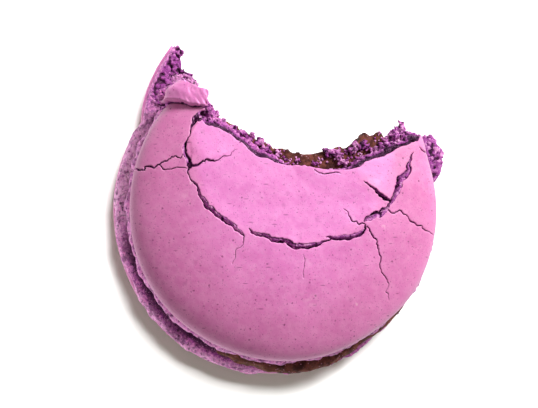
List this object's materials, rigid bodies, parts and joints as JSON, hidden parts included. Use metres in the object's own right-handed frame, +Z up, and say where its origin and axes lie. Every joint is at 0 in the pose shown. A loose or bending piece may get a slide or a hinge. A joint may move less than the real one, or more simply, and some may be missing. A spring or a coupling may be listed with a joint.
{
  "type": "bitten french macaron",
  "caption": "Round almond meringue sandwich biscuit with ruffled feet and a chocolate ganache layer, a cracked upper crust and one bite taken out of its edge.",
  "frame": {"origin": "centre of the flat spot under the lower dome, on the shells' axis, at the height of the surface it rests on", "axes": "+Z up through the layers along the shells' axis; +Y from the axis towards the bite; +X to the right, seen from above with the bite away from the viewer"},
  "size_m": [0.0512, 0.0505, 0.0185],
  "materials": {
    "lower_meringue": "dry crumb, matt",
    "ganache": "soft satin",
    "upper_meringue": "smooth eggshell satin"
  },
  "bodies": {
    "root": {"lower_shell": "lower_meringue", "filling": "ganache", "upper_shell": "upper_meringue"}
  },
  "joints": []
}
